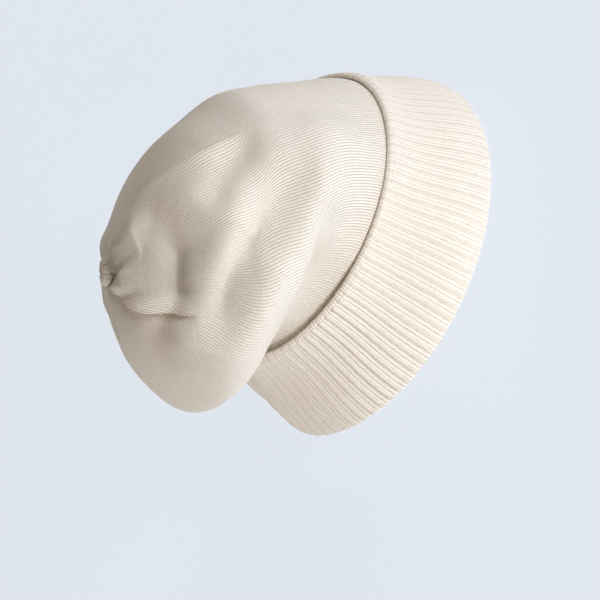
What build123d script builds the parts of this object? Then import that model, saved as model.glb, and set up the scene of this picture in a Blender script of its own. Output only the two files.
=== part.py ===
from build123d import *
import os
from math import cos, pi, radians, sin, tan

# A knit beanie: a rib cuff folded up once, and a plain jersey crown that slouches to the back and is gathered
# to a tuft. Millimetres, +Z up through the crown, -Y towards the forehead. The origin is the middle of the head
# opening, in the plane of the folded rim.

# Driving dimensions
FABRIC = 3.0                # thickness of one layer of the knit
LAYER_GAP = 0.4             # air between two layers
RIM_HALF_LENGTH = 99.6      # middle of the opening to the outside of the rim at the forehead
EDGE_HALF_LENGTH = 77.8     # the same at the free edge of the turn-up
BREADTH_TO_LENGTH = 0.808   # a head is narrower than it is long, and so is the cuff
CUFF_HEIGHT = 56.6          # rim to free edge, straight up
CUFF_BELLY = 1.2            # how far the cuff swells above the rim and dips below its free edge
EDGE_HEIGHT = 2.2           # height of the cast-off edge
EDGE_PROUD = 0.4            # how far the cast-off edge stands out from the turn-up
SEAM_BOTTOM = 46.0          # where the rib ends and the linking seam begins
SEAM_HEIGHT = 3.0
SEAM_RIDGE = 1.4            # how far the linked loops stand into the head space
JOINT_GAP = 0.4             # air between the lower crown and the slouch
NECK_RADIUS = 4.6           # where the gathering thread draws the tuft in
NECK_HEIGHT = 1.0
TUFT_OUTLINE = [(0, NECK_RADIUS), (2 * NECK_HEIGHT, NECK_RADIUS), (3.8, 6.5), (6.0, 4.2)]   # height, radius
THREAD_RADIUS = 0.5
KNOT_RADIUS = 1.6
LABEL_WIDTH = 22.0
LABEL_DROP = 28.0           # from the seam down to the label's free edge
LABEL_THICKNESS = 0.5
LABEL_CORNER = 1.5
LABEL_STANDOFF = 2.2        # room for the flat label inside the curved band
LABEL_GAP = 0.5             # from the label's top edge to the seam

FOLD_INSET = 2 * FABRIC + LAYER_GAP      # inner face of the folded cuff, measured from its outer face
HIDDEN_INSET = FABRIC + LAYER_GAP        # outer face of the hidden layer, measured the same way
FLARE = (RIM_HALF_LENGTH - EDGE_HALF_LENGTH) / CUFF_HEIGHT
BASE_BOTTOM = SEAM_BOTTOM + SEAM_HEIGHT

# The crown's ovals, each as (centre, lean to the right and to the back in degrees, half width, half length).
# The lower crown keeps the head's shape. The slouch widens from the joint, hangs over the cuff at the back and
# closes at the tip.
BASE_OVALS = [
    ((0, -1, 57), 0, 0, 58.4, 72.6),
    ((0, 5, 69), 3, 7, 58.6, 68.6),
]
JOINT_OVAL = ((0, 23, 80), 8, 18, 60.0, 74.5)
SLOUCH_OVALS = [
    ((2, 32, 90), 9, 20, 64.0, 75.0),
    ((3, 43, 98.5), 9, 21, 67.0, 71.5),
    ((4, 50, 110), 11, 22, 66.0, 61.5),
    ((7, 57, 119), 16, 24, 60.0, 48.0),
    ((10, 62, 126), 22, 25, 47.0, 33.0),
    ((13, 64, 130), 25, 23, 28.0, 18.0),
    ((16, 63, 132), 25, 21, 9.0, 7.5),
]


def cuff_half_length(height):
    """Half the cuff's outer length at a height above the rim."""
    return RIM_HALF_LENGTH - FLARE * height + CUFF_BELLY * sin(2 * pi * height / CUFF_HEIGHT)


def cuff_oval(height, inset):
    """The cuff's oval at a height, moved in from the cuff's outer face by inset."""
    half_length = cuff_half_length(height)
    with BuildSketch(Plane.XY.offset(height)) as oval:
        Ellipse(half_length * BREADTH_TO_LENGTH - inset, half_length - inset)
    return oval.sketch


def cuff_ring(bottom, top, outer_inset, inner_inset):
    """A closed band of the cuff between two heights and two insets."""
    steps = 6
    heights = [bottom + (top - bottom) * step / steps for step in range(steps + 1)]
    outside = loft(sections=[cuff_oval(height, outer_inset) for height in heights], mode=Mode.PRIVATE)
    inside = loft(sections=[cuff_oval(height, inner_inset) for height in heights], mode=Mode.PRIVATE)
    return outside - inside


def rounded_fold():
    """The fold round the rim: both layers' width, with a half-round underside."""
    radius = FOLD_INSET / 2
    turns = [radians(angle) for angle in (12, 35, 60, 90)]
    heights = [radius * (cos(turns[0]) - cos(turn)) for turn in turns]
    reaches = [radius * sin(turn) for turn in turns]
    outer = [cuff_oval(height, radius - reach) for height, reach in zip(heights, reaches)]
    inner = [cuff_oval(height, radius + reach) for height, reach in zip(heights, reaches)]
    return loft(sections=outer, mode=Mode.PRIVATE) - loft(sections=inner, mode=Mode.PRIVATE)


def leaning_plane(centre, lean_right, lean_back):
    """A plane across the crown whose normal leans from straight up to the right and to the back."""
    normal = Vector(tan(radians(lean_right)), tan(radians(lean_back)), 1)
    across = Vector(1, 0, -tan(radians(lean_right)))
    return Plane(origin=centre, x_dir=across, z_dir=normal)


def crown_oval(centre, lean_right, lean_back, half_width, half_length):
    """One oval of the crown."""
    with BuildSketch(leaning_plane(centre, lean_right, lean_back)) as oval:
        Ellipse(half_width, half_length)
    return oval.sketch


def save(part, name):
    """Labels a finished piece and writes it to its own file."""
    part.label = name
    export_step(part, f"parts/{name}.step")


os.makedirs("parts", exist_ok=True)

# The plane in which the slouch meets the lower crown, and its front point, about which the slouch lifts
joint_plane = leaning_plane(*JOINT_OVAL[:3])
joint_front = joint_plane.from_local_coords((0, -JOINT_OVAL[-1], 0))
print("slouch hinge at", joint_front, "along", joint_plane.x_dir)

# Cuff: the outer layer, with the fold that it makes round the rim
with BuildPart() as cuff_turn_up:
    add(rounded_fold())
    add(cuff_ring(cuff_turn_up.part.bounding_box().max.Z, CUFF_HEIGHT - EDGE_HEIGHT, 0, FABRIC))
save(cuff_turn_up.part, "cuff_turn_up")

with BuildPart() as cuff_free_edge:
    add(cuff_ring(CUFF_HEIGHT - EDGE_HEIGHT, CUFF_HEIGHT, -EDGE_PROUD, FABRIC))
    fillet(cuff_free_edge.edges().group_by(Axis.Z)[-1], radius=EDGE_HEIGHT / 3)
save(cuff_free_edge.part, "cuff_free_edge")

# Cuff: the layer that lies on the head, and the seam that links it to the crown
with BuildPart() as cuff_inner_band:
    add(cuff_ring(HIDDEN_INSET, SEAM_BOTTOM, HIDDEN_INSET, FOLD_INSET))
save(cuff_inner_band.part, "cuff_inner_band")

with BuildPart() as linking_seam:
    add(cuff_ring(SEAM_BOTTOM, BASE_BOTTOM, HIDDEN_INSET, FOLD_INSET + SEAM_RIDGE))
save(linking_seam.part, "linking_seam")

# Crown: one skin from the linking seam to the tip
seam_half_length = cuff_half_length(BASE_BOTTOM) - HIDDEN_INSET
seam_half_width = cuff_half_length(BASE_BOTTOM) * BREADTH_TO_LENGTH - HIDDEN_INSET
seam_oval = ((0, 0, BASE_BOTTOM), 0, 0, seam_half_width, seam_half_length)
with BuildPart() as crown:
    loft(sections=[crown_oval(*oval) for oval in [seam_oval, *BASE_OVALS, JOINT_OVAL, *SLOUCH_OVALS]])
    offset(amount=-FABRIC, openings=crown.faces().sort_by(Axis.Z)[0])

# Crown: the lower part, which stays on the head
with BuildPart() as crown_base:
    add(crown.part)
    split(bisect_by=joint_plane.offset(-JOINT_GAP), keep=Keep.BOTTOM)
save(crown_base.part, "crown_base")

# Crown: the slack part, which hangs over the back of the cuff
with BuildPart() as crown_slouch:
    add(crown.part)
    split(bisect_by=joint_plane, keep=Keep.TOP)
save(crown_slouch.part, "crown_slouch")

# Tip: the last course, drawn up into a tuft by a thread whose knot is inside
tip_plane = leaning_plane(*SLOUCH_OVALS[-1][:3])
with BuildPart() as tip_tuft:
    for height, radius in TUFT_OUTLINE:
        with BuildSketch(tip_plane.offset(height)):
            Circle(radius)
    loft()
save(tip_tuft.part, "tip_tuft")

with BuildPart(tip_plane.offset(NECK_HEIGHT)) as gathering_thread:
    Torus(NECK_RADIUS + THREAD_RADIUS, THREAD_RADIUS)
save(gathering_thread.part, "gathering_thread")

with BuildPart(tip_plane.offset(-FABRIC - KNOT_RADIUS)) as gathering_knot:
    Sphere(KNOT_RADIUS)
save(gathering_knot.part, "gathering_knot")

# Care label: a blank tape held along its top edge by the linking seam, flat against the hidden layer
label_top = Vector(0, cuff_half_length(SEAM_BOTTOM) - FOLD_INSET - LABEL_STANDOFF, SEAM_BOTTOM - LABEL_GAP)
label_foot_height = label_top.Z - LABEL_DROP
label_foot = Vector(0, cuff_half_length(label_foot_height) - FOLD_INSET - LABEL_STANDOFF, label_foot_height)
label_plane = Plane(
    origin=(label_top + label_foot) / 2,
    x_dir=(1, 0, 0),
    z_dir=Vector(1, 0, 0).cross(label_top - label_foot),
)
print("label hinge at", label_top)
with BuildPart() as care_label:
    with BuildSketch(label_plane):
        RectangleRounded(LABEL_WIDTH, (label_top - label_foot).length, LABEL_CORNER)
    extrude(amount=LABEL_THICKNESS / 2, both=True)
save(care_label.part, "care_label")
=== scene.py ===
"""Looks of the slouchy knit beanie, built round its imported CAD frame.

The hat stands upright on its rim: +Z is up, -Y the forehead, +Y the back of the head. Lengths are
written in millimetres and turned into metres where a mesh is made. Round the hat, angles are in
degrees from the forehead: 90 is +X, 180 the back, 270 is -X. Up the crown, a climb of 0 is the
linking seam and 1 is the gathered tip.
"""
import math

import bpy
import numpy as np
from mathutils import Matrix, Vector


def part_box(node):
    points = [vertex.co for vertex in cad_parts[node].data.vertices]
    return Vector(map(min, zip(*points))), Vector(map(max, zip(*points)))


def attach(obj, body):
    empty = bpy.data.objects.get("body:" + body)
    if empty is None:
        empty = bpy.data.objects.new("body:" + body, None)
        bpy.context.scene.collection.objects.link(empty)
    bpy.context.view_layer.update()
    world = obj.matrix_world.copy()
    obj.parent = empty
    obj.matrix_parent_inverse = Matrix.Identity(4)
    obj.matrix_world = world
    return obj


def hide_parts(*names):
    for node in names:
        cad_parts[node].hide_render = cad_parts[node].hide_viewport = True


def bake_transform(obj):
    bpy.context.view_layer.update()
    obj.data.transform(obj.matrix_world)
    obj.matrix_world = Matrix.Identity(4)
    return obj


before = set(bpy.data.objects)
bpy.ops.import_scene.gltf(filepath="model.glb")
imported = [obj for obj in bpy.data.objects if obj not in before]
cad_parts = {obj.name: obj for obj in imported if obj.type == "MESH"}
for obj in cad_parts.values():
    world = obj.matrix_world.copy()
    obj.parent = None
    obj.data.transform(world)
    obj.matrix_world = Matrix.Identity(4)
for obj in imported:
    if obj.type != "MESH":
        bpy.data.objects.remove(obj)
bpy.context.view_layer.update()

MM = 0.001


def node_box(name):
    """Lowest and highest corner of a CAD node, in mm."""
    return [np.array(corner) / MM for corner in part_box(name)]


# ---------------------------------------------------------------- sizes, in mm
FREE_EDGE = node_box("cuff_free_edge")
CUFF_HEIGHT = FREE_EDGE[1][2]
RIM_HALF_LENGTH = node_box("cuff_turn_up")[1][1] + 0.7      # the rounded rim stops short of its oval
EDGE_HALF_LENGTH = FREE_EDGE[1][1] - 0.9                    # the free edge stands out from its oval
BREADTH_TO_LENGTH = FREE_EDGE[1][0] / FREE_EDGE[1][1]
CUFF_BELLY = 1.2            # how far the cuff swells above the rim and dips below its free edge
RIB_FABRIC = 3.0            # thickness of one layer
LAYER_GAP = 0.4             # air between the cuff's two layers
FOLD_RADIUS = RIB_FABRIC + LAYER_GAP / 2
TURN_UP_TOP = 55.6          # end of the turn-up, inside the cast-off edge
TURN_UP_SHOULDER = 54.9     # where that end starts to round off
INNER_TOP = 46.0            # end of the inner layer, at the linking seam
INNER_SHOULDER = 45.4
BEAD_HEIGHT = 55.5          # middle of the cast-off edge's bead
BEAD_INSET = 1.35
BEAD_HALF_THICK = 1.5
BEAD_HALF_TALL = 1.35
DENT_DEPTH = 8.0            # how far the far back corner of the rim is pushed in
DENT_ANGLE = 165
DENT_WIDTH = 17
DENT_HEIGHT_FOR_CROWN = 50.0

RIB_COUNT = 92
WALES_PER_RIB = 3           # a wale is a column of stitches, a course is a row
COLUMNS_PER_RIB = 15        # columns of mesh points
LINE_RELIEF = 0.5           # of the narrow lines between the ribs
RIB_COURSE = 1.25

JERSEY_FABRIC = 1.8
JERSEY_WALES = 288
JERSEY_COURSE = 1.15
CROWN_ROWS = 330
CROWN_COLUMNS = 8 * RIB_COUNT
LINE_SAMPLES = 240          # samples along each fold's line
LIP_SHARPNESS = 0.4         # how abruptly a sharp fold's two sides part

CHAIN_LOOPS = 170
CHAIN_INSET = 1.8           # from the outside of the linking seam
NECK_ROWS = [(5.6, -0.7), (4.5, -1.8)]      # radius and rise of the crown's last rows, about the tip
THREAD_RING_RADIUS = 4.5
THREAD_RISE = -1.0
THREAD_TWISTS = 14
LABEL_LOWERED = 2.2         # keeps the label clear of the linking chain when it swings up
STITCH_COUNT = 9

rng = np.random.default_rng(7)


# ---------------------------------------------------------------- curves and surfaces
def smooth_through(knots, values, at):
    """A smooth curve through values at knots, read at the given places."""
    knots = np.asarray(knots, float)
    values = np.asarray(values, float).reshape(len(knots), -1)
    at = np.asarray(at, float)
    steps = np.diff(knots)[:, None]
    slopes = np.diff(values, axis=0) / steps
    tangents = np.vstack([slopes[:1], (slopes[:-1] * steps[1:] + slopes[1:] * steps[:-1])
                          / (steps[1:] + steps[:-1]), slopes[-1:]])
    k = np.clip(np.searchsorted(knots, at, side="right") - 1, 0, len(knots) - 2)
    h = steps[k]
    t = ((at - knots[k])[..., None]) / h
    return ((1 + 2 * t) * (1 - t) ** 2 * values[k] + t * (1 - t) ** 2 * h * tangents[k]
            + t ** 2 * (3 - 2 * t) * values[k + 1] + t ** 2 * (t - 1) * h * tangents[k + 1])


def smoothstep(x, low, high):
    """0 up to low, 1 from high, and an even rise between them."""
    t = np.clip((x - low) / (high - low), 0, 1)
    return t * t * (3 - 2 * t)


def hump(distance, width):
    """1 at no distance, falling smoothly to nothing over a few widths."""
    return np.exp(-(distance / width) ** 2)


def around(angle, centre):
    """Signed difference of two angles in degrees, from -180 to 180."""
    return (angle - centre + 180) % 360 - 180


def even_angles(columns):
    """Angles round the cuff's oval, in radians, a step of equal length apart."""
    dense = np.linspace(0, 2 * math.pi, 4001)
    x = BREADTH_TO_LENGTH * np.sin(dense)
    y = np.cos(dense)
    length = np.concatenate([[0], np.cumsum(np.hypot(np.diff(x), np.diff(y)))])
    return np.interp(np.arange(columns) / columns * length[-1], length, dense)


def grid_normals(points):
    """Unit normals of a grid of points (rows up, columns round), pointing outward."""
    along = np.roll(points, -1, 1) - np.roll(points, 1, 1)
    up = np.gradient(points, axis=0)
    normals = np.cross(along, up)
    return normals / (np.linalg.norm(normals, axis=-1, keepdims=True) + 1e-12)


def soften(points, times):
    """Evens out a closed-round grid a little, leaving its first and last row."""
    for _ in range(times):
        across = (np.roll(points, 1, 1) + np.roll(points, -1, 1)) / 2
        inner = (points[2:] + points[:-2]) / 4 + across[1:-1] / 2
        points = np.concatenate([points[:1], (points[1:-1] + inner) / 2, points[-1:]])
    return points


# ---------------------------------------------------------------- mesh making
def make_mesh(name, points, faces, uv=None):
    """An object from points in mm, quads and one (u, v) for each face corner."""
    mesh = bpy.data.meshes.new(name)
    points = np.asarray(points, float).reshape(-1, 3) * MM
    faces = np.asarray(faces, np.int32)
    mesh.vertices.add(len(points))
    mesh.vertices.foreach_set("co", points.ravel())
    mesh.loops.add(faces.size)
    mesh.loops.foreach_set("vertex_index", faces.ravel())
    mesh.polygons.add(len(faces))
    mesh.polygons.foreach_set("loop_start", np.arange(len(faces), dtype=np.int32) * faces.shape[1])
    mesh.update(calc_edges=True)
    mesh.polygons.foreach_set("use_smooth", np.ones(len(faces), bool))
    if uv is not None:
        layer = mesh.uv_layers.new(name="knit")
        layer.data.foreach_set("uv", np.asarray(uv, float).ravel())
    mesh.validate()
    thing = bpy.data.objects.new(name, mesh)
    bpy.context.scene.collection.objects.link(thing)
    return thing


def ring_faces(rows, columns, closed_rows):
    """Quads of a grid that closes round its columns, and along its rows too if asked."""
    r = np.arange(rows if closed_rows else rows - 1)[:, None]
    c = np.arange(columns)[None, :]
    up = (r + 1) % rows
    side = (c + 1) % columns
    return np.stack([r * columns + c, r * columns + side, up * columns + side, up * columns + c],
                    -1).reshape(-1, 4)


def ring_uv(rows, columns, closed_rows, wales, course_of_row):
    """Knit coordinates of the same quads: wales counted round, courses counted along the rows."""
    row = np.arange(rows if closed_rows else rows - 1)
    v_low = course_of_row[row]
    # The quads that close the rows stay at the last course, so that the count never runs back.
    v_high = np.where(row == rows - 1, v_low, course_of_row[(row + 1) % rows])
    u = np.arange(columns + 1) / columns * wales
    uv = np.empty((len(row), columns, 4, 2))
    uv[..., [0, 3], 0] = u[None, :-1, None]
    uv[..., [1, 2], 0] = u[None, 1:, None]
    uv[..., [0, 1], 1] = v_low[:, None, None]
    uv[..., [2, 3], 1] = v_high[:, None, None]
    return uv


def ring_piece(name, points, wales, course_of_row, closed_rows=True):
    """A piece from a grid of points, rows along the knitting and columns round the hat."""
    rows, columns = points.shape[:2]
    return make_mesh(name, points, ring_faces(rows, columns, closed_rows),
                     ring_uv(rows, columns, closed_rows, wales, course_of_row))


def tube(name, path, radius, sides=8, closed=True):
    """A round yarn along a path of points in mm, capped with points at its ends if it is open."""
    path = np.asarray(path, float)
    if closed:
        tangent = np.roll(path, -1, 0) - np.roll(path, 1, 0)
    else:
        tangent = np.gradient(path, axis=0)
    tangent /= np.linalg.norm(tangent, axis=1, keepdims=True)
    middle = path.mean(0)
    outward = path - middle
    outward -= (outward * tangent).sum(1, keepdims=True) * tangent
    outward /= np.linalg.norm(outward, axis=1, keepdims=True) + 1e-12
    other = np.cross(tangent, outward)
    radius = np.broadcast_to(radius, len(path)).copy()
    if not closed:
        radius[[0, -1]] = 0.02
    turn = np.arange(sides) / sides * 2 * math.pi
    ring = np.cos(turn)[None, :, None] * outward[:, None] + np.sin(turn)[None, :, None] * other[:, None]
    points = path[:, None] + radius[:, None, None] * ring
    length = np.concatenate([[0], np.cumsum(np.linalg.norm(np.diff(path, axis=0), axis=1))])
    return ring_piece(name, points, 1, length, closed_rows=closed)


def join(name, parts):
    """Several objects made into one piece."""
    with bpy.context.temp_override(active_object=parts[0], selected_editable_objects=parts):
        bpy.ops.object.join()
    parts[0].name = name
    return parts[0]


# ---------------------------------------------------------------- the rib cuff
def cuff_half_length(height):
    """Half the cuff's outer length at a height above the rim."""
    flare = (RIM_HALF_LENGTH - EDGE_HALF_LENGTH) / CUFF_HEIGHT
    return RIM_HALF_LENGTH - flare * height + CUFF_BELLY * np.sin(2 * math.pi * height / CUFF_HEIGHT)


def dent(angle, height):
    """How far the cuff is pushed in at its far back corner, deepest at the rim. The angle is in radians."""
    fading = 1 - 0.6 * height / CUFF_HEIGHT
    return DENT_DEPTH * hump(around(np.degrees(angle), DENT_ANGLE), DENT_WIDTH) * fading


def cuff_point(angle, height, inset):
    """A point on the cuff's oval at a height, that far in from its outer face."""
    half_length = cuff_half_length(height)
    half_breadth = half_length * BREADTH_TO_LENGTH
    inset = inset + dent(angle, height)
    return np.stack(np.broadcast_arrays((half_breadth - inset) * np.sin(angle),
                                        -(half_length - inset) * np.cos(angle), height), -1)


def cuff_outline():
    """The cuff's section as one closed loop: inset, height, and how much the ribs show there."""
    outer = [(0.0, h, 1.0) for h in np.linspace(TURN_UP_SHOULDER, FOLD_RADIUS + 0.8, 44)]
    fold = [(FOLD_RADIUS * (1 - math.cos(a)), FOLD_RADIUS * (1 - math.sin(a)), 1.0)
            for a in np.linspace(0, math.pi, 15)]
    inner = [(2 * FOLD_RADIUS, h, 1.0) for h in np.linspace(FOLD_RADIUS + 1.2, INNER_SHOULDER, 26)]
    inner_end = [(2 * FOLD_RADIUS - 0.9, INNER_TOP, 0.3),
                 (2 * FOLD_RADIUS - RIB_FABRIC + 0.6, INNER_TOP, 0.0)]
    hidden_down = [(RIB_FABRIC + LAYER_GAP, h, 0.0)
                   for h in np.linspace(INNER_SHOULDER, FOLD_RADIUS + 0.4, 10)]
    hidden_up = [(RIB_FABRIC, h, 0.0) for h in np.linspace(FOLD_RADIUS + 0.4, TURN_UP_SHOULDER, 12)]
    outer_end = [(RIB_FABRIC - 0.6, TURN_UP_TOP, 0.0), (0.9, TURN_UP_TOP, 0.3)]
    return np.array(outer + fold + inner + inner_end + hidden_down + hidden_up + outer_end)


def rib_relief(columns):
    """Relief of the ribs for each column round the hat, most at the narrow lines between them."""
    phase = (np.arange(columns) % COLUMNS_PER_RIB) / COLUMNS_PER_RIB
    rib = np.arange(columns) // COLUMNS_PER_RIB
    uneven = 1 + 0.18 * rng.standard_normal(RIB_COUNT)
    from_line = np.minimum(phase, 1 - phase)
    line = (LINE_RELIEF * uneven)[rib] * hump(from_line, 0.08)
    rounding = 0.12 * (1 - 2 * from_line) ** 2
    middle_line = 0.10 * hump(phase - 0.5, 0.06)
    return line + rounding + middle_line


def make_cuff():
    """The folded rib: turn-up, fold and inner layer, swept round the hat as one closed section.

    Known fault: the relief is added along the outward direction, so the narrow lines between the
    ribs stand out from the cloth on both faces. On a real rib they are sunk into it.
    """
    columns = RIB_COUNT * COLUMNS_PER_RIB
    outline = cuff_outline()
    inset, height, ribbed = outline.T[..., None]
    along = np.roll(outline[:, :2], -1, 0) - np.roll(outline[:, :2], 1, 0)
    along /= np.linalg.norm(along, axis=1, keepdims=True)
    out_inset, out_height = along[:, 1:], -along[:, :1]
    angle = even_angles(columns)[None, :]
    wander = 0.0016 * np.sin(height / 9 + 3 * np.sin(angle * 5)) * ribbed
    calm_at_rim = 0.3 + 0.7 * smoothstep(height, 1, 7)
    relief = rib_relief(columns)[None, :] * (ribbed * calm_at_rim)
    wave = 0.35 * np.sin(3 * angle + height / 21) + 0.25 * np.sin(7 * angle - height / 13 + 1)
    wave = wave * smoothstep(height, 2, 14)
    inset = inset + out_inset * relief - wave
    height = np.maximum(height + out_height * relief, 0.05)
    points = cuff_point(angle + wander, height, inset)
    length = np.concatenate([[0], np.cumsum(np.hypot(*np.diff(outline[:, :2], axis=0).T))])
    cuff = ring_piece("rib_cuff", points, RIB_COUNT * WALES_PER_RIB, length / RIB_COURSE)
    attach(cuff, "cuff_and_crown")
    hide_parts("cuff_turn_up", "cuff_inner_band")
    return cuff


def make_cast_off_edge():
    """The cast-off edge: a narrow rounded bead with one small knuckle for each wale."""
    columns = RIB_COUNT * COLUMNS_PER_RIB
    sides = 16
    turn = np.arange(sides) / sides * 2 * math.pi
    angle = even_angles(columns)[None, :]
    column = np.arange(columns)[None, :]
    knuckle = 0.07 * np.cos(2 * math.pi * column / (COLUMNS_PER_RIB / WALES_PER_RIB))
    rib_dip = 0.05 * np.cos(2 * math.pi * column / COLUMNS_PER_RIB)
    inset = BEAD_INSET - (BEAD_HALF_THICK - rib_dip) * np.cos(turn)[:, None]
    height = BEAD_HEIGHT + (BEAD_HALF_TALL + knuckle) * np.sin(turn)[:, None]
    points = cuff_point(angle, height, inset)
    edge = ring_piece("cast_off_edge", points, RIB_COUNT * WALES_PER_RIB, np.arange(sides) * 0.6)
    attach(edge, "cuff_and_crown")
    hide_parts("cuff_free_edge")
    return edge


def make_linking_chain():
    """The chain of linking stitches that joins the crown to the inner band."""
    low, high = node_box("linking_seam")
    middle = (low[2] + high[2]) / 2
    steps = CHAIN_LOOPS * 12
    angle = np.arange(steps) / steps * 2 * math.pi
    stitch = angle * CHAIN_LOOPS

    def round_seam(swing, rise):
        inset = CHAIN_INSET + dent(angle, middle) - swing
        return np.stack([(high[0] - inset) * np.sin(angle), -(high[1] - inset) * np.cos(angle),
                         middle + rise], 1)

    still = np.zeros(steps)
    loops = round_seam(0.55 * np.sin(2 * stitch), 0.95 * np.sin(stitch))
    core = round_seam(still, still)
    parts = [tube("chain_loops", loops, 0.5, 6), tube("chain_core", core[::6], 0.85, 8)]
    chain = join("linking_chain", parts)
    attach(chain, "cuff_and_crown")
    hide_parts("linking_seam")
    return chain


# ---------------------------------------------------------------- the crown
# Centre, lean to the right, lean to the back, half width, half length of the crown's ovals.
CROWN_OVALS = [
    ((0, 0, 48.4), 0, 0, 61.0, 76.0),
    ((0, -0.5, 57), 0, 0, 59.8, 74.0),
    ((0, 5, 69), 3, 7, 58.6, 68.6),
    ((0, 23, 80), 8, 18, 60.0, 74.5),
    ((2, 32, 90), 9, 20, 64, 75),
    ((3, 43, 98.5), 9, 21, 67, 71.5),
    ((4, 50, 110), 11, 22, 66, 61.5),
    ((7, 57, 119), 16, 24, 60, 48),
    ((10, 62, 126), 22, 25, 47, 33),
    ((13, 64, 130), 25, 23, 28, 18),
    ((16, 63, 132), 25, 21, 9, 7.5),
]


def lean_axes(lean_right, lean_back):
    """Side, forward and normal directions of a plane that leans by these slopes."""
    normal = np.stack([lean_right, lean_back, np.ones_like(lean_right)], -1)
    normal /= np.linalg.norm(normal, axis=-1, keepdims=True)
    side = np.stack([np.ones_like(lean_right), np.zeros_like(lean_right), -lean_right], -1)
    side /= np.linalg.norm(side, axis=-1, keepdims=True)
    return side, np.cross(normal, side), normal


def oval_points(ovals, angle):
    """Points at an angle in radians on ovals given as centre, slope right and back, and half sizes."""
    side, forward, _ = lean_axes(ovals[..., 3], ovals[..., 4])
    return (ovals[..., :3] + (ovals[..., 5] * np.sin(angle))[..., None] * side
            - (ovals[..., 6] * np.cos(angle))[..., None] * forward)


OVAL_TABLE = np.array([(*centre, math.tan(math.radians(right)), math.tan(math.radians(back)), width, length)
                       for centre, right, back, width, length in CROWN_OVALS])
TIP = OVAL_TABLE[-1, :3]
TIP_SIDE, TIP_FORWARD, TIP_UP = lean_axes(*OVAL_TABLE[-1, 3:5])


def climb_of_ovals():
    """How far up the crown each oval lies: its share of the mean length of the crown's meridians."""
    turn = np.linspace(0, 2 * math.pi, 24, endpoint=False)[:, None]
    points = oval_points(OVAL_TABLE[None], turn)
    steps = np.linalg.norm(np.diff(points, axis=1), axis=-1).mean(0)
    return np.concatenate([[0], np.cumsum(steps)]) / steps.sum()


OVAL_CLIMB = climb_of_ovals()


def crown_point(angle, climb):
    """A point on the smooth crown, before its folds. The angle is in radians."""
    return oval_points(smooth_through(OVAL_CLIMB, OVAL_TABLE, climb), angle)


def tip_point(radius, turn, rise):
    """A point about the gathered tip's own axis. The turn is in radians."""
    radius, turn, rise = np.broadcast_arrays(radius, turn, rise)
    outward = np.sin(turn)[..., None] * TIP_SIDE - np.cos(turn)[..., None] * TIP_FORWARD
    return TIP + rise[..., None] * TIP_UP + radius[..., None] * outward


# Soft hills and hollows: height in mm (a hollow is negative), half width in mm, share of the
# length over which each end fades, and the places the line goes through as (angle, climb).
SOFT_FOLDS = [
    (-14.0, 28.0, 0.35, [(318, 0.64), (304, 0.69), (285, 0.715), (262, 0.715), (243, 0.70), (225, 0.68)]),
    (-6.5, 10.0, 0.35, [(321, 0.70), (314, 0.74), (299, 0.775), (279, 0.79), (260, 0.79), (246, 0.77),
                        (232, 0.77), (218, 0.75), (210, 0.70), (204, 0.65)]),
    (-3.5, 9.0, 0.3, [(334, 0.475), (322, 0.48), (317, 0.525), (312, 0.565), (304, 0.60), (298, 0.625)]),
    (-12.0, 12.0, 0.4, [(300, 0.30), (294, 0.34), (287, 0.39), (283, 0.44), (277, 0.49), (270, 0.52),
                        (262, 0.545), (252, 0.565), (242, 0.575), (232, 0.58)]),
    (6.0, 9.0, 0.3, [(303, 0.21), (297, 0.255), (287, 0.30), (277, 0.33), (270, 0.40), (262, 0.445),
                     (252, 0.495), (236, 0.535), (216, 0.57)]),
    (8.0, 20.0, 0.4, [(325, 0.19), (313, 0.205), (302, 0.235), (291, 0.28), (282, 0.315)]),
    (4.0, 9.0, 0.3, [(300, 0.96), (307, 0.94), (320, 0.89), (322, 0.83), (314, 0.80)]),
    (6.0, 9.0, 0.4, [(285, 0.94), (268, 0.93), (250, 0.92), (238, 0.91)]),
    (-3.0, 6.0, 0.4, [(150, 0.97), (152, 0.88), (160, 0.78)]),
    (3.0, 8.0, 0.4, [(75, 0.68), (66, 0.74), (58, 0.82), (48, 0.88)]),
    (-3.5, 10.0, 0.4, [(100, 0.46), (110, 0.58), (132, 0.66), (150, 0.64)]),
    (2.5, 9.0, 0.4, [(90, 0.62), (105, 0.70), (130, 0.76)]),
    (2.0, 12.0, 0.4, [(100, 0.30), (125, 0.40), (150, 0.43)]),
]

# Sharp folds, where one side laps over the other: lip height, hollow depth, lap and half width in
# mm, the side of the lip (+1 is to the left of the line's direction, seen from outside the hat), the
# share of the length over which the far end fades, whether the near end fades too, and the places.
SHARP_FOLDS = [
    (2.0, 10.0, 3.0, 4.5, +1, 0.5, False, [(245, 0.96), (236, 0.93), (232, 0.89), (231, 0.854), (233, 0.804),
                                           (236, 0.754), (239, 0.713), (242, 0.68), (245, 0.66)]),
    (1.2, 4.5, 1.2, 5.0, +1, 0.3, False, [(269, 0.985), (277, 0.955), (281, 0.91)]),
    (2.0, 5.5, 2.0, 7.0, -1, 0.3, False, [(300, 0.985), (330, 0.93), (341, 0.883), (341, 0.80),
                                          (339, 0.738), (336, 0.683), (332, 0.625), (330, 0.571),
                                          (330, 0.512), (328, 0.45)]),
    (1.0, 3.5, 1.0, 4.0, -1, 0.4, False, [(0, 0.985), (30, 0.93), (41, 0.858), (30, 0.80), (20, 0.75)]),
    (0.8, 2.5, 0.8, 4.0, +1, 0.5, False, [(95, 0.985), (105, 0.88), (102, 0.78)]),
    (1.0, 13.0, 3.0, 18.0, +1, 0.3, True, [(180, 0.46), (195, 0.45), (209, 0.43), (217, 0.405), (229, 0.39),
                                          (237, 0.385), (243, 0.375), (249, 0.355), (254, 0.335), (259, 0.31),
                                          (265, 0.28), (270, 0.26), (276, 0.24)]),
]


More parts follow.
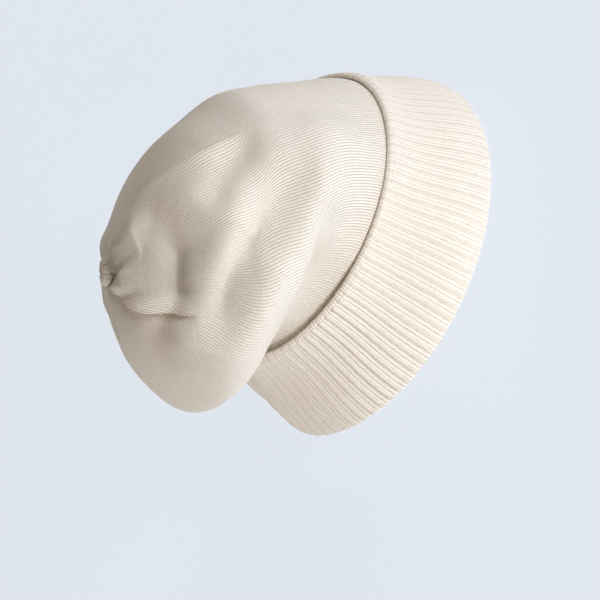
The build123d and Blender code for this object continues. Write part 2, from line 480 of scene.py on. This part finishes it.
def nearest_on_line(points, places, reach):
    """Points near a line over the crown.

    Gives which points they are, and for each of them the share of the line's length it lies at,
    its offset from the line and the line's direction there.
    """
    places = np.array(places, float)
    places[:, 0] = np.degrees(np.unwrap(np.radians(places[:, 0])))
    share = np.linspace(0, 1, LINE_SAMPLES)
    fine = smooth_through(np.linspace(0, 1, len(places)), places, share)
    line = crown_point(np.radians(fine[:, 0]), fine[:, 1])
    direction = np.gradient(line, axis=0)
    half_step = np.linalg.norm(direction, axis=1) / 2
    direction /= 2 * half_step[:, None]
    close = ((points > line.min(0) - reach) & (points < line.max(0) + reach)).all(-1)
    chosen = points[close]
    near = np.empty(len(chosen), int)
    at_once = 10000
    for start in range(0, len(chosen), at_once):
        part = chosen[start:start + at_once]
        near[start:start + at_once] = ((part[:, None] - line[None]) ** 2).sum(-1).argmin(1)
    away = chosen - line[near]
    ahead = direction[near]
    beyond = np.clip((away * ahead).sum(-1), -half_step[near], half_step[near])
    return close, share[near], away - beyond[:, None] * ahead, ahead


def fade(share, length, at_start=True):
    """1 along a fold, falling to 0 at its far end, and at its near end too if asked."""
    fading = 1 - smoothstep(share, 1 - length, 1)
    if at_start:
        fading = fading * smoothstep(share, 0, length)
    return fading


def fold_crown(points, normals):
    """Moves the smooth crown's points into its soft and sharp folds."""
    moved = np.zeros_like(points)
    for height, half_width, fading, places in SOFT_FOLDS:
        close, share, away, _ = nearest_on_line(points, places, 2.8 * half_width)
        distance = np.linalg.norm(away, axis=-1)
        lift = height * hump(distance, half_width) * fade(share, fading)
        moved[close] += lift[:, None] * normals[close]
    for lip, depth, lap, half_width, lip_side, fading, fades_in, places in SHARP_FOLDS:
        close, share, away, ahead = nearest_on_line(points, places, 5 * half_width)
        across = np.cross(normals[close], ahead) * lip_side
        signed = np.sign((away * across).sum(-1)) * np.linalg.norm(away, axis=-1)
        strength = fade(share, fading, at_start=fades_in)
        on_lip = 0.5 + 0.5 * np.tanh(signed / LIP_SHARPNESS)
        raised = lip * on_lip * hump(signed, half_width)
        sunk = depth * (1 - on_lip) * np.exp(-np.abs(signed) / half_width)
        lapped = lap * on_lip * hump(signed, 0.8 * half_width)
        moved[close] += ((raised - sunk) * strength)[:, None] * normals[close]
        moved[close] -= (lapped * strength)[:, None] * across
    return points + moved


def follow_dent(points, angle, climb):
    """The foot of the crown is pushed in with the cuff."""
    inward = dent(angle, DENT_HEIGHT_FOR_CROWN) * (1 - smoothstep(climb, 0.0, 0.22))
    points = points.copy()
    points[..., 0] -= inward * np.sin(angle)
    points[..., 1] += inward * np.cos(angle)
    return points


def gather(points, normals, angle, climb):
    """Small pleats that the drawn-up tip sends down the crown: two sets, 17 and 26 round."""
    near_tip = smoothstep(climb, 0.80, 0.97)
    pleats = 0.6 * np.cos(17 * angle + 1.3) + 0.4 * np.cos(26 * angle + 0.4)
    return points + (near_tip * 0.45 * pleats)[..., None] * normals


def make_crown():
    """The jersey as a closed skin: its outer face, the drawn-in neck and the inner face back down."""
    angle = even_angles(CROWN_COLUMNS)[None, :]
    climb = np.linspace(0, 1, CROWN_ROWS)[:, None]
    angle, climb = np.broadcast_arrays(angle, climb)
    outer = crown_point(angle, climb)
    outer = follow_dent(outer, angle, climb)
    normals = grid_normals(outer)
    outer = fold_crown(outer, normals)
    outer = gather(outer, normals, angle, climb)
    outer = soften(outer, 2)
    normals = grid_normals(outer)
    neck_radius, neck_rise = np.array(NECK_ROWS).T[..., None]
    neck = tip_point(neck_radius, angle[0], neck_rise)
    inner_neck = neck[-1:] - JERSEY_FABRIC * TIP_UP
    # The inner face needs only every third row.
    inner = outer[::-3] - JERSEY_FABRIC * soften(normals, 6)[::-3]
    points = np.concatenate([outer, neck, inner_neck, inner])
    meridian = np.linalg.norm(np.diff(points, axis=0), axis=-1).mean(1)
    courses = np.concatenate([[0], np.cumsum(meridian)]) / JERSEY_COURSE
    crown = ring_piece("slouchy_crown", points, JERSEY_WALES, courses)
    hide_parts("crown_base", "crown_slouch")
    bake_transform(crown)
    return crown


# ---------------------------------------------------------------- the gathered tip
# Radius and rise of the tuft's section, from its neck up and over to its middle.
TUFT_OUTLINE = [(3.6, -3.0), (3.9, -1.6), (4.3, -0.4), (5.6, 0.4), (6.2, 1.6), (5.7, 3.0), (4.2, 3.9),
                (2.2, 3.7), (1.0, 2.9), (0.05, 2.5)]


def make_tuft():
    """The last courses, drawn up into a small pleated tuft."""
    rows, columns = 60, 240
    outline = smooth_through(np.linspace(0, 1, len(TUFT_OUTLINE)), TUFT_OUTLINE, np.linspace(0, 1, rows))
    radius, rise = outline[:, :1], outline[:, 1:]
    turn = np.arange(columns)[None, :] / columns * 2 * math.pi
    wide = smoothstep(radius, 0.4, 4.0)
    pleat = np.abs(np.cos(4.5 * turn + 0.5 * np.sin(2 * turn))) ** 0.7
    pleat = pleat + 0.35 * np.abs(np.cos(9.5 * turn + 2))
    radius = radius * (1 + wide * (0.16 * pleat - 0.13)) + 0.25 * wide * np.sin(2 * turn + 1)
    rise = rise + wide * 0.5 * (pleat - 0.8) + 0.35 * wide * np.sin(turn + 2)
    points = tip_point(radius, turn, rise)
    tuft = ring_piece("gathered_tuft", points, 46, np.arange(rows) * 0.35, closed_rows=False)
    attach(tuft, "slouch")
    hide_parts("tip_tuft")
    return tuft


def make_drawn_thread():
    """Two plies of thread twisted round the neck of the tuft."""
    steps = 360
    turn = np.arange(steps) / steps * 2 * math.pi
    plies = []
    for start in (0, math.pi):
        twist = THREAD_TWISTS * turn + start
        radius = THREAD_RING_RADIUS + 0.22 * np.cos(twist) + 0.12 * np.sin(3 * turn)
        rise = THREAD_RISE + 0.22 * np.sin(twist) + 0.15 * np.cos(2 * turn)
        plies.append(tube("ply", tip_point(radius, turn, rise), 0.3, 8))
    thread = join("drawn_thread", plies)
    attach(thread, "slouch")
    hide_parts("gathering_thread")
    return thread


def make_knot():
    """The thread's finishing knot, inside the hat, with its two trimmed ends."""
    low, high = node_box("gathering_knot")
    middle = (low + high) / 2
    steps = 240
    t = np.arange(steps) / steps * 2 * math.pi
    trefoil = np.stack([np.sin(t) + 2 * np.sin(2 * t), np.cos(t) - 2 * np.cos(2 * t),
                        -1.2 * np.sin(3 * t)], 1)
    parts = [tube("trefoil", middle + 0.4 * trefoil, 0.38, 8)]
    for side in (-1, 1):
        s = np.linspace(0, 1, 30)
        tail = np.stack([side * (0.8 + 3.2 * s), 0.6 * side * np.sin(2.5 * s), -0.6 - 3.4 * s ** 1.4], 1)
        parts.append(tube("tail", middle + tail, 0.32, 8, closed=False))
    knot = join("finishing_knot", parts)
    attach(knot, "slouch")
    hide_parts("gathering_knot")
    return knot


# ---------------------------------------------------------------- the blank label
def sheet_faces(rows, columns):
    """Quads of a thin sheet: a front grid, a back grid of the same shape, and the rim round them."""
    front = np.arange(rows * columns).reshape(rows, columns)
    to_back = rows * columns
    quads = np.stack([front[:-1, :-1], front[:-1, 1:], front[1:, 1:], front[1:, :-1]], -1).reshape(-1, 4)
    rim = np.concatenate([front[0, :-1], front[:-1, -1], front[-1, :0:-1], front[:0:-1, 0]])
    ahead = np.roll(rim, -1)
    rim_quads = np.stack([rim, ahead, ahead + to_back, rim + to_back], -1)
    return np.concatenate([quads[:, ::-1], quads + to_back, rim_quads])


def make_label():
    """A woven tape label, blank, sewn on along its top edge at the back of the inner band."""
    low, high = node_box("care_label")
    half_width = (high[0] - low[0]) / 2
    d, a = np.meshgrid(np.linspace(0, 1, 57), np.linspace(-1, 1, 45), indexing="ij")
    rounded_corner = 1 - 0.05 * smoothstep(d, 0.94, 1) * np.abs(a) ** 8
    x = half_width * a * rounded_corner
    curl = -0.9 * d ** 2 * (1 + 0.3 * a)
    ripple = 0.25 * np.sin(3 * a + 2 * d)
    y = low[1] + 0.3 + d * (high[1] - low[1] - 0.6) + curl + ripple
    z = high[2] - LABEL_LOWERED - d * (high[2] - low[2] - LABEL_LOWERED - 0.2)
    y = y - dent(math.pi - np.arctan2(x, y), z)
    front = np.stack([x, y, z], -1)
    back = front + np.array([0, 0.42, 0.2])
    points = np.concatenate([front.reshape(-1, 3), back.reshape(-1, 3)])
    faces = sheet_faces(*d.shape)
    u = np.tile(((a + 1) * half_width).ravel(), 2)
    v = np.tile((d * (high[2] - low[2])).ravel(), 2)
    label = make_mesh("blank_label", points, faces, np.stack([u[faces], v[faces]], -1))
    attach(label, "label")
    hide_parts("care_label")
    return label


def make_label_stitches():
    """The row of stitches along the label's top edge."""
    low, high = node_box("care_label")
    reach = (high[0] - low[0]) / 2 - 1.2
    s = np.linspace(0, 1, 12)
    stitches = []
    for x0 in np.linspace(-reach, reach, STITCH_COUNT):
        pushed = dent(math.pi - math.atan2(x0, low[1]), high[2])
        path = np.stack([x0 - 0.85 + 1.7 * s, low[1] + 0.55 - pushed - 0.45 * np.sin(math.pi * s),
                         np.full(len(s), high[2] - LABEL_LOWERED - 1.5)], 1)
        stitches.append(tube("stitch", path, 0.16, 6, closed=False))
    sewing = join("label_stitches", stitches)
    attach(sewing, "label")
    return sewing


# ---------------------------------------------------------------- materials
class Shader:
    """A node material being put together."""

    def __init__(self, name):
        self.material = bpy.data.materials.new(name)
        self.material.use_nodes = True
        self.nodes = self.material.node_tree.nodes
        self.links = self.material.node_tree.links
        self.surface = self.nodes["Principled BSDF"]

    def feed(self, socket, value):
        """Sets a socket to a number or colour, or links another node's output to it."""
        if isinstance(value, (int, float, tuple)):
            socket.default_value = value
        else:
            self.links.new(value, socket)

    def math(self, operation, *values, clamp=False):
        node = self.nodes.new("ShaderNodeMath")
        node.operation = operation
        node.use_clamp = clamp
        for socket, value in zip(node.inputs, values):
            self.feed(socket, value)
        return node.outputs[0]

    def noise(self, scale, detail):
        node = self.nodes.new("ShaderNodeTexNoise")
        node.inputs["Scale"].default_value = scale
        node.inputs["Detail"].default_value = detail
        place = self.nodes.new("ShaderNodeTexCoord").outputs["Object"]
        self.links.new(place, node.inputs["Vector"])
        return node.outputs["Fac"]

    def knit_uv(self):
        """The wale and course that a point of the surface lies at."""
        node = self.nodes.new("ShaderNodeUVMap")
        node.uv_map = "knit"
        split = self.nodes.new("ShaderNodeSeparateXYZ")
        self.links.new(node.outputs[0], split.inputs[0])
        return split.outputs[0], split.outputs[1]

    def mix(self, share, first, second):
        node = self.nodes.new("ShaderNodeMix")
        node.data_type = "RGBA"
        self.feed(node.inputs["Factor"], share)
        self.feed(node.inputs["A"], first)
        self.feed(node.inputs["B"], second)
        return node.outputs["Result"]

    def bumps(self, layers):
        """Bumps on top of one another, each a height and its depth in metres."""
        normal = None
        for height, distance in layers:
            node = self.nodes.new("ShaderNodeBump")
            node.inputs["Distance"].default_value = distance
            node.inputs["Strength"].default_value = 1.0
            self.links.new(height, node.inputs["Height"])
            if normal is not None:
                self.links.new(normal, node.inputs["Normal"])
            normal = node.outputs[0]
        self.links.new(normal, self.surface.inputs["Normal"])

    def finish(self, roughness, sheen, specular=0.25):
        self.surface.inputs["Roughness"].default_value = roughness
        self.surface.inputs["Specular IOR Level"].default_value = specular
        self.surface.inputs["Sheen Weight"].default_value = sheen
        self.surface.inputs["Sheen Roughness"].default_value = 0.5
        self.surface.inputs["Sheen Tint"].default_value = (1.0, 0.95, 0.88, 1)
        return self.material


def stitch_height(shader, u, v):
    """Height of plain knitting: columns of stitches parted by grooves, each stitch a V of two legs."""
    from_middle = shader.math("ABSOLUTE", shader.math("SUBTRACT", u, shader.math("ROUND", u)))
    groove = shader.math("POWER", shader.math("MULTIPLY", from_middle, 2.0), 3.0)
    column = shader.math("SUBTRACT", 1.0, groove)
    phase = shader.math("ADD", v, shader.math("MULTIPLY", from_middle, 1.3))
    swing = shader.math("COSINE", shader.math("MULTIPLY", phase, 2 * math.pi))
    loop = shader.math("MULTIPLY_ADD", swing, 0.05, 0.95)
    return shader.math("MULTIPLY", column, loop)


def knit_material(name, light, shade, speck_and_groove_shade, bump_depth, rib_valley_shade=0.0):
    """Fine pale knitting: V stitches, soft yarn fuzz, slight changes of colour, painted shade in the hollows
    between stitches, and on the rib painted shade in the narrow lines between the ribs.
    """
    shader = Shader(name)
    u, v = shader.knit_uv()
    wobble = shader.math("MULTIPLY", shader.math("SUBTRACT", shader.noise(500, 2), 0.5), 0.35)
    stitch = stitch_height(shader, shader.math("ADD", u, wobble), shader.math("ADD", v, wobble))
    broad = shader.noise(28, 3)
    fuzz = shader.noise(2600, 3)
    yarn = shader.noise(900, 2)
    base = shader.mix(shader.math("MULTIPLY_ADD", broad, 0.5, 0.5), shade, light)
    speck = shader.math("MULTIPLY", shader.math("SUBTRACT", yarn, 0.35, clamp=True), 0.5)
    # Random yarn speckle, mixed toward the same dark colour that paints the shade in the stitch hollows.
    speckled = shader.mix(speck, base, speck_and_groove_shade)
    # Painted shade: the lower the stitch height, the more the colour is pulled toward the dark one, darkening
    # the hollows between stitches.
    groove_shade_mask = shader.math("SUBTRACT", 0.70, stitch, clamp=True)
    colour = shader.mix(shader.math("MULTIPLY", groove_shade_mask, 0.8), speckled, speck_and_groove_shade)
    # Painted shade: the narrow lines between the ribs are darkened toward a brown, for the shade that falls
    # in the rib's valleys.
    if rib_valley_shade:
        rib = shader.math("DIVIDE", u, WALES_PER_RIB)
        from_line = shader.math("ABSOLUTE", shader.math("SUBTRACT", rib, shader.math("ROUND", rib)))
        line = shader.math("SUBTRACT", 1.0, shader.math("DIVIDE", from_line, 0.10), clamp=True)
        colour = shader.mix(shader.math("MULTIPLY", line, rib_valley_shade), colour, (0.46, 0.33, 0.23, 1))
    shader.links.new(colour, shader.surface.inputs["Base Color"])
    shader.bumps([(stitch, bump_depth), (yarn, 0.00012), (fuzz, 0.00005)])
    return shader.finish(roughness=0.88, sheen=0.3)


def thread_and_gap_shade_material():
    """Twisted sewing yarn in browns a little darker than the knitting: partly the thread's own tone, partly
    painted warm shade for the gap under the cuff's free edge, where the linking chain lies.
    """
    shader = Shader("seam_thread")
    u, v = shader.knit_uv()
    twist = shader.math("SINE", shader.math("ADD", shader.math("MULTIPLY", u, 2 * math.pi),
                                            shader.math("MULTIPLY", v, 7.0)))
    fibre = shader.noise(3000, 2)
    share = shader.math("MULTIPLY", shader.math("ADD", twist, fibre), 0.25, clamp=True)
    # Painted shade in part: both browns are warmer and darker than the yarn, so that the linking chain at the
    # foot of the gap under the free edge shows the gap's warm shade.
    colour = shader.mix(share, (0.60, 0.45, 0.31, 1), (0.80, 0.68, 0.54, 1))
    shader.links.new(colour, shader.surface.inputs["Base Color"])
    shader.bumps([(twist, 0.00008), (fibre, 0.00004)])
    return shader.finish(roughness=0.7, sheen=0.15)


def label_material():
    """Blank woven tape: fine warp and weft, with a slightly glossy satin face."""
    shader = Shader("label_tape")
    u, v = shader.knit_uv()
    warp = shader.math("SINE", shader.math("MULTIPLY", u, 2 * math.pi / 0.35))
    weft = shader.math("SINE", shader.math("MULTIPLY", v, 2 * math.pi / 0.45))
    weave = shader.math("MULTIPLY", warp, weft)
    fibre = shader.noise(1500, 3)
    share = shader.math("MULTIPLY_ADD", weave, 0.25, 0.5)
    colour = shader.mix(share, (0.74, 0.70, 0.64, 1), (0.86, 0.83, 0.78, 1))
    colour = shader.mix(shader.math("MULTIPLY", fibre, 0.3), colour, (0.68, 0.62, 0.55, 1))
    shader.links.new(colour, shader.surface.inputs["Base Color"])
    shader.bumps([(weave, 0.00005), (fibre, 0.00003)])
    return shader.finish(roughness=0.5, sheen=0.1, specular=0.4)


def floor_material():
    """A pale sweep that glows a little, like a lit table."""
    shader = Shader("pale_floor")
    grain = shader.noise(6, 4)
    colour = shader.mix(grain, (0.14, 0.15, 0.17, 1), (0.16, 0.17, 0.19, 1))
    shader.links.new(colour, shader.surface.inputs["Base Color"])
    shader.surface.inputs["Emission Color"].default_value = (0.86, 0.92, 1.0, 1)
    shader.surface.inputs["Emission Strength"].default_value = 0.78
    return shader.finish(roughness=0.9, sheen=0.0, specular=0.1)


def dress(thing, material):
    """Gives a piece its one material."""
    thing.data.materials.clear()
    thing.data.materials.append(material)


# ---------------------------------------------------------------- camera, floor and light
CAMERA_PLACE = (-0.6091, 0.1487, 0.5469)
CAMERA_BACK = (-0.754, 0.140, 0.640)        # from the hat toward the camera
CAMERA_RIGHT = (-0.642, -0.350, -0.681)     # points to the right of the picture
FLOOR_HALF_SIDE = 6.0


def make_camera():
    """Looks down on the -X side, rolled so that the forehead points up in the picture."""
    data = bpy.data.cameras.new("camera")
    data.sensor_width = 36
    data.lens = 96
    camera = bpy.data.objects.new("camera", data)
    bpy.context.scene.collection.objects.link(camera)
    back = Vector(CAMERA_BACK).normalized()
    right = Vector(CAMERA_RIGHT)
    right = (right - right.dot(back) * back).normalized()
    up = back.cross(right)
    turn = Matrix((right, up, back)).transposed().to_4x4()
    camera.matrix_world = Matrix.Translation(CAMERA_PLACE) @ turn
    bpy.context.scene.camera = camera


def make_floor():
    """A wide level floor, which is also the whole background."""
    corners = FLOOR_HALF_SIDE * np.array([(-1, -1, 0), (1, -1, 0), (1, 1, 0), (-1, 1, 0)])
    floor = make_mesh("floor", corners / MM, [(0, 1, 2, 3)])
    dress(floor, floor_material())


def make_light(name, place, target, size, watts, colour):
    """A round area light, turned to its target."""
    data = bpy.data.lights.new(name, "AREA")
    data.shape = "DISK"
    data.size = size
    data.energy = watts
    data.color = colour
    light = bpy.data.objects.new(name, data)
    bpy.context.scene.collection.objects.link(light)
    light.location = place
    light.rotation_euler = (Vector(target) - Vector(place)).to_track_quat("-Z", "Y").to_euler()


def make_lights():
    """A low window on the -X and -Y side, weak fills, and a warm dim world."""
    hat = (0, 0.01, 0.07)
    make_light("window", (-1.25, -0.70, 0.12), hat, 0.6, 17, (0.93, 0.97, 1.0))
    make_light("low_fill", (-1.05, 1.0, 0.12), hat, 0.8, 9, (1.0, 0.95, 0.88))
    make_light("front_fill", (0.3, -1.0, 1.1), hat, 1.0, 4, (0.94, 0.97, 1.0))
    make_light("back_fill", (0.9, 1.0, 0.7), hat, 1.0, 2, (1.0, 0.95, 0.88))
    world = bpy.data.worlds.new("studio")
    world.use_nodes = True
    world.node_tree.nodes["Background"].inputs["Color"].default_value = (1.0, 0.86, 0.72, 1)
    world.node_tree.nodes["Background"].inputs["Strength"].default_value = 0.25
    bpy.context.scene.world = world
    bpy.context.scene.view_settings.view_transform = "Standard"


# ---------------------------------------------------------------- putting it together
# In each knit the darkest colour gives both the random yarn speckle and the painted shade in the stitch
# hollows; the rib's last number sets how much painted shade darkens the lines between its ribs.
RIB_KNIT = knit_material("rib_knit", light=(0.95, 0.89, 0.82, 1), shade=(0.93, 0.86, 0.78, 1),
                         speck_and_groove_shade=(0.66, 0.52, 0.38, 1), bump_depth=0.00030, rib_valley_shade=0.4)
JERSEY_KNIT = knit_material("jersey_knit", light=(0.91, 0.85, 0.78, 1), shade=(0.88, 0.81, 0.72, 1),
                            speck_and_groove_shade=(0.56, 0.45, 0.33, 1), bump_depth=0.00038)
THREAD_AND_GAP_SHADE = thread_and_gap_shade_material()

make_camera()
make_floor()
make_lights()

cuff = make_cuff()
dress(cuff, RIB_KNIT)
cast_off_edge = make_cast_off_edge()
dress(cast_off_edge, RIB_KNIT)
dress(make_linking_chain(), THREAD_AND_GAP_SHADE)
crown = make_crown()
dress(crown, JERSEY_KNIT)
dress(make_tuft(), JERSEY_KNIT)
dress(make_drawn_thread(), THREAD_AND_GAP_SHADE)
dress(make_knot(), THREAD_AND_GAP_SHADE)
dress(make_label(), label_material())
dress(make_label_stitches(), THREAD_AND_GAP_SHADE)
